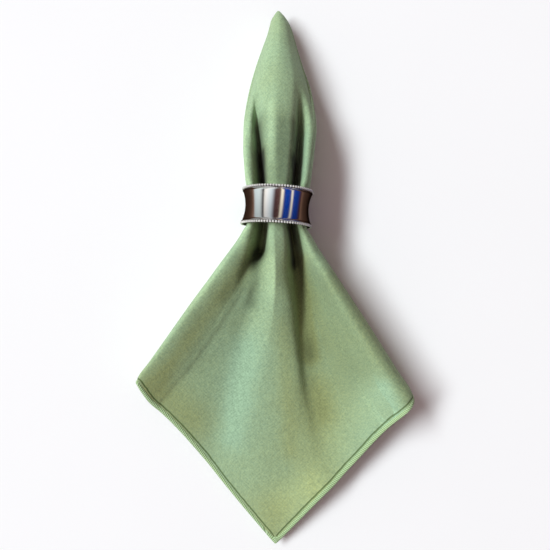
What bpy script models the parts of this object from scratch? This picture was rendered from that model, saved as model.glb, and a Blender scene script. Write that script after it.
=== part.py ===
"""Table napkin folded in quarters, gathered in three lobes through a spool-shaped napkin ring.

Metres, +Z up. The object lies on the plane z = 0 with its folded tip towards +Y.
"""

import math

import bmesh
import bpy
import numpy as np

# Overall sizes
TIP_Y = 0.1714                # the folded tip
LENGTH = 0.3431               # from the tip, along the middle, to the loose corners
THICKNESS = 0.0018            # four plies of pressed cloth
REST_HEIGHT = THICKNESS / 2   # middle of the cloth where it lies on the table

# Napkin ring
RING_LENGTH = 0.0224
RING_RIM_RADIUS = 0.0222
RING_WAIST_RADIUS = 0.0195
RING_WALL = 0.0010
RING_X = 0.0018
RING_Y = 0.0431
RING_TURN = math.radians(-3.0)
BEAD_RADIUS = 0.00075
LIP_LENGTH = 0.0010
COVE_POINTS = 11
BEAD_POINTS = 5
RING_STEPS = 72

# Cloth inside the ring
RING_CLEARANCE = 0.0004
RIM_CLEARANCE = 0.0010
RIM_REACH = 0.0020
PRESS_SOFTNESS = 0.0006

# Mesh density of the cloth
CELLS_ACROSS = 50
CELLS_ALONG = 42

# Where the rows of the mesh lie: share of the rows, distance from the tip
ROW_COLUMNS = ("share", "run")
ROWS = (
    (0.00, 0.000),
    (0.10, 0.013),
    (0.34, 0.103),
    (0.58, 0.154),
    (1.00, LENGTH),
)

# Outline of the cloth seen from above. mid, left and right are places across; a rise says how far the row
# bends towards the tip at its left edge, right edge and turned-under back edges; slit is half the gap there.
OUTLINE_COLUMNS = ("run", "mid", "left", "right", "rise_left", "rise_right", "rise_back", "slit")
OUTLINE = (
    (0.0000, 0.0028, -0.0006, 0.0058, -0.0030, -0.0032, -0.0032, 0.0024),
    (0.0060, 0.0036, -0.0014, 0.0083, -0.0012, -0.0012, -0.0012, 0.0030),
    (0.0130, 0.0040, -0.0028, 0.0108, 0.0000, 0.0000, 0.0000, 0.0030),
    (0.0250, 0.0037, -0.0069, 0.0141, 0.0000, 0.0000, 0.0000, 0.0026),
    (0.0380, 0.0035, -0.0113, 0.0180, 0.0000, 0.0000, 0.0000, 0.0026),
    (0.0510, 0.0037, -0.0147, 0.0222, 0.0000, 0.0000, 0.0000, 0.0026),
    (0.0650, 0.0038, -0.0171, 0.0247, 0.0000, 0.0000, 0.0000, 0.0026),
    (0.0780, 0.0037, -0.0183, 0.0258, 0.0000, 0.0000, 0.0000, 0.0026),
    (0.0910, 0.0032, -0.0183, 0.0246, 0.0000, 0.0000, 0.0000, 0.0026),
    (0.1040, 0.0028, -0.0175, 0.0230, 0.0000, 0.0000, 0.0000, 0.0026),
    (0.1130, 0.0026, -0.0167, 0.0218, 0.0000, 0.0000, 0.0000, 0.0026),
    (0.1280, 0.0018, -0.0152, 0.0188, 0.0000, 0.0000, 0.0000, 0.0026),
    (0.1380, 0.0014, -0.0160, 0.0188, 0.0000, 0.0000, 0.0000, 0.0026),
    (0.1450, 0.0014, -0.0183, 0.0209, 0.0029, 0.0026, 0.0012, 0.0030),
    (0.1920, 0.0012, -0.0346, 0.0364, 0.0272, 0.0252, 0.0111, 0.0040),
    (0.2420, 0.0011, -0.0524, 0.0536, 0.0531, 0.0492, 0.0217, 0.0050),
    (0.3150, 0.0010, -0.0770, 0.0777, 0.0909, 0.0842, 0.0371, 0.0050),
    (0.3350, 0.0010, -0.0836, 0.0845, 0.1013, 0.0938, 0.0413, 0.0050),
    (LENGTH, 0.0010, -0.0848, 0.0856, 0.1055, 0.0977, 0.0430, 0.0050),
)

# The hem's line meets the side folds a little lower than their ends. Its point on the middle line is
# TIP_WIDTH to either side, and the rows nearer the ring are blunter than the hem.
CORNER_SHARE = 0.93
TIP_WIDTH = 0.0005
TIP_SHARPNESS = 6
ROW_BLUNTNESS = 0.45

# How far the two lower hems sway up from a straight line, by share of the way from the middle to the edge
HEM_WAVE_COLUMNS = ("share", "left", "right")
HEM_WAVES = (
    (0.00, 0.0000, 0.0000),
    (0.15, 0.0044, 0.0072),
    (0.30, 0.0004, 0.0056),
    (0.45, 0.0016, 0.0030),
    (0.60, 0.0062, 0.0038),
    (0.70, 0.0062, 0.0092),
    (0.80, 0.0050, 0.0050),
    (0.90, 0.0046, 0.0062),
    (1.00, 0.0096, 0.0082),
)

# Guide points of a section. Places are shares of the half width, of a lobe or of the middle lobe's own half,
# and heights are shares of the way up from one named height to the next.
BACK_PLACES = (0.0, 0.35, 0.75, 1.0)
LEFT_EDGE_RISE = 0.78
RIGHT_EDGE_RISE = 0.84
SHOULDER_PLACE = 0.50
SHOULDER_RISE = 0.80
LEFT_BULGE_PLACE = 0.30
RIGHT_BULGE_PLACE = 0.68
WALL_RISE = 0.45
SLOPE_FALLS = (0.26, 0.42, 0.62, 0.84)
PLANE_PLACE = 0.85
ARCH_FULLNESS = 0.96
LEFT_STEP_PLACE = 0.50
RIGHT_STEP_PLACE = 0.35
RIGHT_STEP_FALL = 0.30

# Heights of the middle of the cloth: under is the turned-under back, crown the crest of the middle lobe,
# middle the cloth on the middle line, soft the shallow valley on the crest's left. ridge and soft are places
# as shares of the left half width. dome is how far the section is one plain arch, with no folds yet.
HEIGHT_COLUMNS = ("run", "under", "ridge", "crown", "middle", "soft", "soft_height", "dome")
HEIGHTS = (
    (0.0000, 0.0072, 0.10, 0.0100, 0.0100, 0.30, 0.0097, 1.00),
    (0.0060, 0.0058, 0.10, 0.0134, 0.0134, 0.30, 0.0130, 1.00),
    (0.0130, 0.0045, 0.12, 0.0168, 0.0168, 0.30, 0.0163, 1.00),
    (0.0250, 0.0027, 0.14, 0.0228, 0.0227, 0.30, 0.0221, 1.00),
    (0.0400, REST_HEIGHT, 0.15, 0.0280, 0.0278, 0.30, 0.0271, 1.00),
    (0.0520, REST_HEIGHT, 0.15, 0.0308, 0.0306, 0.30, 0.0296, 0.90),
    (0.0650, REST_HEIGHT, 0.15, 0.0334, 0.0331, 0.30, 0.0316, 0.45),
    (0.0780, REST_HEIGHT, 0.14, 0.0356, 0.0353, 0.29, 0.0332, 0.12),
    (0.0910, REST_HEIGHT, 0.12, 0.0374, 0.0370, 0.28, 0.0352, 0.00),
    (0.1060, REST_HEIGHT, 0.10, 0.0388, 0.0386, 0.26, 0.0370, 0.00),
    (0.1170, 0.0034, 0.08, 0.0392, 0.0390, 0.22, 0.0380, 0.00),
    (0.1280, 0.0052, 0.08, 0.0393, 0.0391, 0.20, 0.0385, 0.00),
    (0.1390, 0.0034, 0.08, 0.0388, 0.0386, 0.18, 0.0376, 0.00),
    (0.1530, REST_HEIGHT, 0.05, 0.0345, 0.0342, 0.17, 0.0325, 0.00),
    (0.1730, REST_HEIGHT, 0.03, 0.0266, 0.0262, 0.30, 0.0222, 0.00),
    (0.1900, REST_HEIGHT, 0.06, 0.0212, 0.0208, 0.40, 0.0172, 0.00),
    (0.2142, REST_HEIGHT, 0.17, 0.0172, 0.0166, 0.43, 0.0136, 0.00),
    (0.2505, REST_HEIGHT, 0.28, 0.0148, 0.0142, 0.46, 0.0112, 0.00),
    (0.2820, REST_HEIGHT, 0.36, 0.0122, 0.0117, 0.48, 0.0094, 0.00),
    (0.3100, REST_HEIGHT, 0.39, 0.0098, 0.0094, 0.49, 0.0078, 0.00),
    (LENGTH, REST_HEIGHT, 0.40, 0.0072, 0.0062, 0.50, 0.0060, 0.00),
)

# The two deep folds beside the middle lobe. valley is the fold's place as a share of the half width, gap the
# width between its walls, floor its lowest height. roll is the place of the outer lobe's crest, crest its
# height, bulge the height between it and the fold, plane the height on the fold's inner side.
FOLD_COLUMNS = ("run", "valley", "gap", "floor", "roll", "crest", "bulge", "plane")
LEFT_FOLD = (
    (0.0000, 0.62, 0.0010, 0.0096, 0.90, 0.0090, 0.0092, 0.0098),
    (0.0130, 0.62, 0.0020, 0.0150, 0.90, 0.0112, 0.0140, 0.0156),
    (0.0250, 0.62, 0.0030, 0.0190, 0.90, 0.0134, 0.0175, 0.0210),
    (0.0400, 0.64, 0.0045, 0.0225, 0.90, 0.0158, 0.0210, 0.0250),
    (0.0520, 0.66, 0.0050, 0.0222, 0.90, 0.0190, 0.0236, 0.0276),
    (0.0650, 0.66, 0.0050, 0.0196, 0.92, 0.0230, 0.0254, 0.0300),
    (0.0780, 0.64, 0.0050, 0.0166, 0.93, 0.0264, 0.0266, 0.0320),
    (0.0910, 0.58, 0.0052, 0.0142, 0.94, 0.0290, 0.0278, 0.0338),
    (0.1040, 0.54, 0.0056, 0.0128, 0.94, 0.0312, 0.0292, 0.0356),
    (0.1280, 0.48, 0.0058, 0.0120, 0.92, 0.0325, 0.0308, 0.0376),
    (0.1400, 0.44, 0.0072, 0.0110, 0.90, 0.0318, 0.0300, 0.0358),
    (0.1550, 0.43, 0.0088, 0.0110, 0.90, 0.0290, 0.0270, 0.0270),
    (0.1700, 0.56, 0.0062, 0.0206, 0.93, 0.0294, 0.0266, 0.0222),
    (0.1900, 0.64, 0.0050, 0.0208, 0.95, 0.0292, 0.0254, 0.0196),
    (0.2142, 0.71, 0.0045, 0.0200, 0.965, 0.0286, 0.0240, 0.0170),
    (0.2505, 0.775, 0.0045, 0.0190, 0.975, 0.0276, 0.0228, 0.0152),
    (0.2820, 0.82, 0.0045, 0.0190, 0.98, 0.0266, 0.0222, 0.0146),
    (0.3100, 0.855, 0.0045, 0.0184, 0.985, 0.0254, 0.0212, 0.0140),
    (LENGTH, 0.885, 0.0045, 0.0168, 0.99, 0.0230, 0.0192, 0.0120),
)
RIGHT_FOLD = (
    (0.0000, 0.60, 0.0010, 0.0096, 0.86, 0.0090, 0.0092, 0.0098),
    (0.0130, 0.60, 0.0020, 0.0150, 0.86, 0.0112, 0.0140, 0.0156),
    (0.0250, 0.60, 0.0030, 0.0190, 0.86, 0.0136, 0.0175, 0.0210),
    (0.0400, 0.59, 0.0045, 0.0228, 0.86, 0.0162, 0.0214, 0.0250),
    (0.0500, 0.58, 0.0048, 0.0222, 0.86, 0.0192, 0.0236, 0.0274),
    (0.0620, 0.56, 0.0046, 0.0196, 0.86, 0.0232, 0.0256, 0.0298),
    (0.0780, 0.54, 0.0046, 0.0164, 0.85, 0.0276, 0.0280, 0.0322),
    (0.0910, 0.55, 0.0050, 0.0142, 0.84, 0.0302, 0.0300, 0.0340),
    (0.1040, 0.55, 0.0052, 0.0128, 0.84, 0.0320, 0.0316, 0.0356),
    (0.1280, 0.52, 0.0056, 0.0120, 0.84, 0.0330, 0.0328, 0.0374),
    (0.1430, 0.51, 0.0062, 0.0100, 0.82, 0.0322, 0.0308, 0.0358),
    (0.1550, 0.51, 0.0072, 0.0090, 0.80, 0.0304, 0.0272, 0.0304),
    (0.1700, 0.48, 0.0085, 0.0085, 0.82, 0.0288, 0.0222, 0.0218),
    (0.1900, 0.465, 0.0090, 0.0078, 0.85, 0.0300, 0.0146, 0.0176),
    (0.2142, 0.43, 0.0100, 0.0070, 0.87, 0.0304, 0.0122, 0.0142),
    (0.2505, 0.42, 0.0120, 0.0070, 0.89, 0.0306, 0.0114, 0.0126),
    (0.2820, 0.45, 0.0135, 0.0082, 0.905, 0.0308, 0.0116, 0.0112),
    (0.3100, 0.46, 0.0140, 0.0102, 0.915, 0.0310, 0.0134, 0.0116),
    (LENGTH, 0.50, 0.0140, 0.0140, 0.93, 0.0306, 0.0178, 0.0148),
)


def slopes(places, values):
    """Tangents that never overshoot, for a cubic through the values."""
    step = np.diff(places)
    rate = np.diff(values) / step
    tangent = np.zeros(len(values))
    for i in range(1, len(values) - 1):
        if rate[i - 1] * rate[i] > 0:
            before = 2 * step[i] + step[i - 1]
            after = step[i] + 2 * step[i - 1]
            tangent[i] = (before + after) / (before / rate[i - 1] + after / rate[i])
    tangent[0] = rate[0]
    tangent[-1] = rate[-1]
    return tangent


class Table:
    """Smooth curves through the named columns of a table, along its first column."""

    def __init__(self, columns, rows):
        data = np.array(rows)
        self.places = data[:, 0]
        self.curves = {
            name: (data[:, i], slopes(self.places, data[:, i]))
            for i, name in enumerate(columns)
        }

    def at(self, place):
        i = int(np.clip(np.searchsorted(self.places, place) - 1, 0, len(self.places) - 2))
        step = self.places[i + 1] - self.places[i]
        t = (place - self.places[i]) / step
        found = {}
        for name, (value, tangent) in self.curves.items():
            found[name] = (
                (1 + 2 * t) * (1 - t) ** 2 * value[i]
                + t * (1 - t) ** 2 * step * tangent[i]
                + t * t * (3 - 2 * t) * value[i + 1]
                + t * t * (t - 1) * step * tangent[i + 1]
            )
        return found


def half_section(side, outline, height, fold):
    """Guide points of one half of a section, from the turned-under back edge to beside the middle lobe.

    side is -1 on the left and 1 on the right. Each guide is a place across, a place along and a height.
    A fold whose floor lies between its two sides is one slope down to the plane.
    """
    edge = outline["left"] if side < 0 else outline["right"]
    rise = outline["rise_left"] if side < 0 else outline["rise_right"]
    rise_back = outline["rise_back"]
    half = abs(edge - outline["mid"])
    slit = outline["slit"] / half
    under = height["under"]
    floor = fold["floor"]
    valley = fold["valley"]
    outer = valley + fold["gap"] / 2 / half
    inner = valley - fold["gap"] / 2 / half
    guides = []
    for share in BACK_PLACES:
        across = slit + share * (1 - slit)
        guides.append((across, rise_back + (rise - rise_back) * share, under))
    edge_rise = LEFT_EDGE_RISE if side < 0 else RIGHT_EDGE_RISE
    bulge_place = LEFT_BULGE_PLACE if side < 0 else RIGHT_BULGE_PLACE
    edge_height = under + edge_rise * (fold["crest"] - under)
    shoulder = 1 - SHOULDER_PLACE * (1 - fold["roll"])
    guides.append((1.0, rise, edge_height))
    drop = fold["bulge"] - fold["plane"]
    slant = min(max(2 * (floor - fold["plane"]) / drop, 0.0), 1.0) if drop > 0 else 0.0
    trough = (
        (outer, floor + WALL_RISE * (fold["bulge"] - floor)),
        ((valley + outer) / 2, floor),
        ((valley + inner) / 2, floor),
        (inner, floor + WALL_RISE * (fold["plane"] - floor)),
    )
    walls = tuple(
        (share, z + slant * (fold["bulge"] - drop * fall - z))
        for (share, z), fall in zip(trough, SLOPE_FALLS)
    )
    front = (
        (shoulder, edge_height + SHOULDER_RISE * (fold["crest"] - edge_height)),
        (fold["roll"], fold["crest"]),
        (outer + bulge_place * (fold["roll"] - outer), fold["bulge"]),
        *walls,
        (PLANE_PLACE * inner, fold["plane"]),
    )
    for share, z in front:
        arch = under + (height["crown"] - under) * math.sqrt(1 - ARCH_FULLNESS * share ** 2)
        guides.append((share, hem_line(side, rise, share), z + height["dome"] * (arch - z)))
    return [(outline["mid"] + side * share * half, along, z) for share, along, z in guides]


def hem_line(side, rise, share):
    """How far a row bends towards the tip at a share of the way from the middle to an edge.

    The hem is a sharp V, and the rows nearer the ring are rounder.
    """
    bend = row_bend(rise)
    blunt = ROW_BLUNTNESS * (1 - bend)
    vee = (math.hypot(share, blunt) - blunt) / (math.hypot(1.0, blunt) - blunt)
    wave = hem_waves.at(share)["left" if side < 0 else "right"]
    return CORNER_SHARE * rise * vee + wave * bend ** 2


def row_bend(rise):
    """How far a row has come to the hem's own shape: 0 at the ring and 1 at the hem."""
    return min(max(rise / OUTLINE[-1][4], 0.0), 1.0)


def section(run):
    """Guide points of the whole section at a distance from the tip, from one back edge to the other."""
    outline = outlines.at(run)
    height = heights.at(run)
    mid = outline["mid"]
    left = half_section(-1, outline, height, left_folds.at(run))
    right = half_section(1, outline, height, right_folds.at(run))
    left_half = mid - outline["left"]
    rise = outline["rise_left"]
    sharp = row_bend(rise) ** TIP_SHARPNESS
    blunt = 1 - sharp
    left_step = mid - sharp * TIP_WIDTH - blunt * LEFT_STEP_PLACE * height["ridge"] * left_half
    right_step = mid + sharp * TIP_WIDTH + blunt * RIGHT_STEP_PLACE * (right[-1][0] - mid)
    left_height = height["middle"] + blunt * LEFT_STEP_PLACE * (height["crown"] - height["middle"])
    right_height = height["middle"] + blunt * RIGHT_STEP_FALL * (right[-1][2] - height["middle"])
    middle = [
        (mid - height["soft"] * left_half, hem_line(-1, rise, height["soft"]), height["soft_height"]),
        (mid - height["ridge"] * left_half, hem_line(-1, rise, height["ridge"]), height["crown"]),
        (left_step, 0.0, left_height),
        (mid, 0.0, height["middle"]),
        (right_step, 0.0, right_height),
    ]
    guides = np.array(left + middle + right[::-1])
    guides[:, 1] += TIP_Y - run
    return guides


def spline_weights(shares, spans):
    """Weights of a uniform cubic B-spline's guides at each share of its length, one row of them a share."""
    weights = np.zeros((len(shares), spans + 3))
    for row, share in enumerate(shares):
        i = min(int(share * spans), spans - 1)
        t = share * spans - i
        weights[row, i:i + 4] = (
            (1 - t) ** 3 / 6,
            (3 * t ** 3 - 6 * t ** 2 + 4) / 6,
            (-3 * t ** 3 + 3 * t ** 2 + 3 * t + 1) / 6,
            t ** 3 / 6,
        )
    return weights


def bore_radius(along):
    """Radius free inside the ring for the middle of the cloth, at a distance from the ring's middle."""
    half = RING_LENGTH / 2
    waist = RING_WAIST_RADIUS - RING_WALL - RING_CLEARANCE - THICKNESS / 2
    rim = RING_RIM_RADIUS - 2 * BEAD_RADIUS - RIM_CLEARANCE - THICKNESS / 2
    past_rim = np.maximum(np.abs(along) - half - RIM_REACH, 0.0)
    return waist + (rim - waist) * np.minimum(np.abs(along) / half, 1.0) ** 2 + past_rim


def press_into_ring(points):
    """Draws into the ring's bore any of the cloth that would lie outside it."""
    cos, sin = math.cos(RING_TURN), math.sin(RING_TURN)
    away_x = points[..., 0] - RING_X
    away_y = points[..., 1] - RING_Y
    up = points[..., 2] - RING_RIM_RADIUS
    along = away_y * cos - away_x * sin
    across = away_x * cos + away_y * sin
    radius = np.hypot(across, up)
    free = bore_radius(along)
    room = np.clip((free - radius) / PRESS_SOFTNESS, -60.0, 60.0)
    held = free - PRESS_SOFTNESS * np.log1p(np.exp(room))
    share = np.where(np.abs(along) < RING_LENGTH, held / radius, 1.0)
    points[..., 0] = RING_X + across * share * cos - along * sin
    points[..., 1] = RING_Y + across * share * sin + along * cos
    points[..., 2] = RING_RIM_RADIUS + up * share


def cloth_points():
    """Places of the cloth's middle surface, row by row from the tip to the hem, from left to right."""
    runs = [rows.at(row / CELLS_ALONG)["run"] for row in range(CELLS_ALONG + 1)]
    guides = np.array([section(run) for run in runs])
    before = 2 * guides[:, :1] - guides[:, 1:2]
    after = 2 * guides[:, -1:] - guides[:, -2:-1]
    guides = np.concatenate((before, guides, after), axis=1)
    spans = guides.shape[1] - 3
    shares = np.arange(CELLS_ACROSS + 1) / CELLS_ACROSS
    points = np.einsum("cg,rgx->rcx", spline_weights(shares, spans), guides)
    press_into_ring(points)
    return points


def plain_material(name, colour, roughness, metallic):
    material = bpy.data.materials.new(name)
    material.use_nodes = True
    shader = material.node_tree.nodes["Principled BSDF"]
    shader.inputs["Base Color"].default_value = (*colour, 1.0)
    shader.inputs["Roughness"].default_value = roughness
    shader.inputs["Metallic"].default_value = metallic
    return material


def add_object(name, mesh, material, collection):
    mesh.materials.append(material)
    mesh.shade_smooth()
    obj = bpy.data.objects.new(name, mesh)
    collection.objects.link(obj)
    return obj


def make_napkin(collection):
    """The cloth: a grid laid on the sections, then given the thickness of its four plies."""
    mesh = bpy.data.meshes.new("napkin")
    grid = bmesh.new()
    bmesh.ops.create_grid(grid, x_segments=CELLS_ACROSS, y_segments=CELLS_ALONG, size=0.5)
    points = cloth_points()
    for vertex in grid.verts:
        column = round((vertex.co.x + 0.5) * CELLS_ACROSS)
        row = round((vertex.co.y + 0.5) * CELLS_ALONG)
        vertex.co = points[row, column]
    bmesh.ops.reverse_faces(grid, faces=grid.faces)
    grid.to_mesh(mesh)
    grid.free()
    cloth = plain_material("sage cloth", (0.36, 0.48, 0.30), 0.9, 0.0)
    obj = add_object("napkin", mesh, cloth, collection)
    plies = obj.modifiers.new("plies", "SOLIDIFY")
    plies.thickness = THICKNESS
    plies.offset = 0.0
    return obj


def ring_profile():
    """Section of the ring's wall at +X: down the outer side, round the lower bead, up the bore."""
    half = RING_LENGTH / 2
    bead_x = RING_RIM_RADIUS - BEAD_RADIUS
    bead_z = half - BEAD_RADIUS
    cove_z = bead_z - LIP_LENGTH
    outer = []
    inner = []
    for i in range(COVE_POINTS):
        z = cove_z * (1 - 2 * i / (COVE_POINTS - 1))
        swell = (RING_RIM_RADIUS - BEAD_RADIUS / 2 - RING_WAIST_RADIUS) * (z / cove_z) ** 2
        outer.append((RING_WAIST_RADIUS + swell, z))
        inner.append((RING_WAIST_RADIUS - RING_WALL + swell, -z))
    lower = []
    upper = []
    for i in range(BEAD_POINTS):
        turn = math.radians(60 - 210 * i / (BEAD_POINTS - 1))
        x = bead_x + BEAD_RADIUS * math.cos(turn)
        z = BEAD_RADIUS * math.sin(turn)
        lower.append((x, -bead_z + z))
        upper.append((x, bead_z - z))
    return outer + lower + inner + upper[::-1]


def make_ring(collection):
    """The ring: its wall's section turned a full round, lying on its two rims."""
    profile = ring_profile()
    mesh = bpy.data.meshes.new("ring")
    wall = bmesh.new()
    points = [wall.verts.new((x, 0.0, z)) for x, z in profile]
    for i in range(len(points)):
        wall.edges.new((points[i - 1], points[i]))
    wall.to_mesh(mesh)
    wall.free()
    silver = plain_material("polished silver", (0.78, 0.77, 0.76), 0.12, 1.0)
    obj = add_object("ring", mesh, silver, collection)
    turn = obj.modifiers.new("turn", "SCREW")
    turn.steps = RING_STEPS
    turn.render_steps = RING_STEPS
    turn.use_merge_vertices = True
    turn.merge_threshold = 0.00001
    obj.location = (RING_X, RING_Y, RING_RIM_RADIUS)
    obj.rotation_euler = (math.radians(-90.0), 0.0, RING_TURN)
    return obj


rows = Table(ROW_COLUMNS, ROWS)
outlines = Table(OUTLINE_COLUMNS, OUTLINE)
hem_waves = Table(HEM_WAVE_COLUMNS, HEM_WAVES)
heights = Table(HEIGHT_COLUMNS, HEIGHTS)
left_folds = Table(FOLD_COLUMNS, LEFT_FOLD)
right_folds = Table(FOLD_COLUMNS, RIGHT_FOLD)

for old in list(bpy.data.objects):
    bpy.data.objects.remove(old)
parts = bpy.data.collections.new("Napkin in a ring")
bpy.context.scene.collection.children.link(parts)
make_napkin(parts)
make_ring(parts)
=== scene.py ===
"""Looks of a table napkin folded in quarters and drawn through a beaded napkin ring.

Metres, +Z up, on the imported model's own frame: the cloth lies on z = 0 with its folded tip towards +Y.
"""

import math

import bmesh
import bpy
import numpy as np
from mathutils import Matrix, Vector


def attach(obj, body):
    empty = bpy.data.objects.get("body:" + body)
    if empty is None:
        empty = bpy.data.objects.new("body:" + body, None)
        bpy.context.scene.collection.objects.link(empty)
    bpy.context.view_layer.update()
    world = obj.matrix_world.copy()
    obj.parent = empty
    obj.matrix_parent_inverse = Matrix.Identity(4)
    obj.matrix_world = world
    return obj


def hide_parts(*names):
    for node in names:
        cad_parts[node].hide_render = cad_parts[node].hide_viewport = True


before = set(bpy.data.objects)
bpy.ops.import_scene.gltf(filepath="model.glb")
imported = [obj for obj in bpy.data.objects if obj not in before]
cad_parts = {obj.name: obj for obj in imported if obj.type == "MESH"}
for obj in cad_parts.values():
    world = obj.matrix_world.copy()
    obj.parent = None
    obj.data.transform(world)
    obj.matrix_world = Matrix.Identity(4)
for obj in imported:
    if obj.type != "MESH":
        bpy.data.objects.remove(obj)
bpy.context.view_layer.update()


# The napkin: one square of fine plain weave cloth, folded in quarters, so that four plies lie on each other.
# The folded corner points up through the ring, the loose corners point down, and both sides are turned under.
# It is one continuous sheet here too: its columns run round the napkin's centre, over and back in four plies.

TIP_Y = 0.1714                # the folded tip
LENGTH = 0.3431               # from the tip, along the middle, to the loose corners
STACK = 0.0018                # the four plies as the solid holds them
REST_HEIGHT = STACK / 2
CLOTH_THICKNESS = 0.00038

RING_LENGTH = 0.0224
RING_RIM_RADIUS = 0.0222
RING_WAIST_RADIUS = 0.0195
RING_WALL = 0.0010
RING_X = 0.0018
RING_Y = 0.0431
RING_TURN = math.radians(-3.0)
BEAD_RADIUS = 0.00075
RING_CLEARANCE = 0.0004
RIM_CLEARANCE = 0.0010
RIM_REACH = 0.0020
PRESS_SOFTNESS = 0.0006

# Rows of the mesh, from one run to another and how many: most at the tip, in the ring and by the hem
ROW_BANDS = (
    (0.0000, 0.0060, 10),
    (0.0060, 0.1000, 34),
    (0.1000, 0.1560, 30),
    (0.1560, 0.3340, 58),
    (0.3340, LENGTH, 14),
)

# Outline of the cloth seen from above. mid, left and right are places across; a rise says how far the row
# bends towards the tip at its left edge, right edge and turned-under back edges; slit is half the gap there.
OUTLINE_COLUMNS = ("run", "mid", "left", "right", "rise_left", "rise_right", "rise_back", "slit")
OUTLINE = (
    (0.0000, 0.0028, -0.0006, 0.0058, -0.0030, -0.0032, -0.0032, 0.0024),
    (0.0060, 0.0036, -0.0014, 0.0083, -0.0012, -0.0012, -0.0012, 0.0030),
    (0.0130, 0.0040, -0.0028, 0.0108, 0.0000, 0.0000, 0.0000, 0.0030),
    (0.0250, 0.0037, -0.0069, 0.0141, 0.0000, 0.0000, 0.0000, 0.0026),
    (0.0380, 0.0035, -0.0113, 0.0180, 0.0000, 0.0000, 0.0000, 0.0026),
    (0.0510, 0.0037, -0.0147, 0.0222, 0.0000, 0.0000, 0.0000, 0.0026),
    (0.0650, 0.0038, -0.0171, 0.0247, 0.0000, 0.0000, 0.0000, 0.0026),
    (0.0780, 0.0037, -0.0183, 0.0258, 0.0000, 0.0000, 0.0000, 0.0026),
    (0.0910, 0.0032, -0.0183, 0.0246, 0.0000, 0.0000, 0.0000, 0.0026),
    (0.1040, 0.0028, -0.0175, 0.0230, 0.0000, 0.0000, 0.0000, 0.0026),
    (0.1130, 0.0026, -0.0167, 0.0218, 0.0000, 0.0000, 0.0000, 0.0026),
    (0.1280, 0.0018, -0.0152, 0.0188, 0.0000, 0.0000, 0.0000, 0.0026),
    (0.1380, 0.0014, -0.0160, 0.0188, 0.0000, 0.0000, 0.0000, 0.0026),
    (0.1450, 0.0014, -0.0183, 0.0209, 0.0029, 0.0026, 0.0012, 0.0030),
    (0.1920, 0.0012, -0.0346, 0.0364, 0.0272, 0.0252, 0.0111, 0.0040),
    (0.2420, 0.0011, -0.0524, 0.0536, 0.0531, 0.0492, 0.0217, 0.0050),
    (0.3150, 0.0010, -0.0770, 0.0777, 0.0909, 0.0842, 0.0371, 0.0050),
    (0.3350, 0.0010, -0.0836, 0.0845, 0.1013, 0.0938, 0.0413, 0.0050),
    (LENGTH, 0.0010, -0.0848, 0.0856, 0.1055, 0.0977, 0.0430, 0.0050),
)

# The hem's line meets the side folds a little lower than their ends. Its point on the middle line is
# TIP_WIDTH to either side, and the rows nearer the ring are blunter than the hem.
CORNER_SHARE = 0.93
TIP_WIDTH = 0.0005
TIP_SHARPNESS = 6
ROW_BLUNTNESS = 0.45

# How far the two lower hems sway up from a straight line, by share of the way from the middle to the edge
HEM_WAVE_COLUMNS = ("share", "left", "right")
HEM_WAVES = (
    (0.00, 0.0000, 0.0000),
    (0.15, 0.0044, 0.0072),
    (0.30, 0.0004, 0.0056),
    (0.45, 0.0016, 0.0030),
    (0.60, 0.0062, 0.0038),
    (0.70, 0.0062, 0.0092),
    (0.80, 0.0050, 0.0050),
    (0.90, 0.0046, 0.0062),
    (1.00, 0.0096, 0.0082),
)

# Guide points of a section. Places are shares of the half width, of a lobe or of the middle lobe's own half,
# and heights are shares of the way up from one named height to the next.
BACK_PLACES = (0.0, 0.35, 0.75, 1.0)
LEFT_EDGE_RISE = 0.78
RIGHT_EDGE_RISE = 0.84
SHOULDER_PLACE = 0.50
SHOULDER_RISE = 0.80
LEFT_BULGE_PLACE = 0.30
RIGHT_BULGE_PLACE = 0.68
WALL_RISE = 0.45
SLOPE_FALLS = (0.24, 0.36, 0.54, 0.72)
PLANE_PLACE = 0.85
ARCH_FULLNESS = 0.96
LEFT_STEP_PLACE = 0.50
RIGHT_STEP_PLACE = 0.50
RIGHT_STEP_FALL = 0.38

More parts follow.
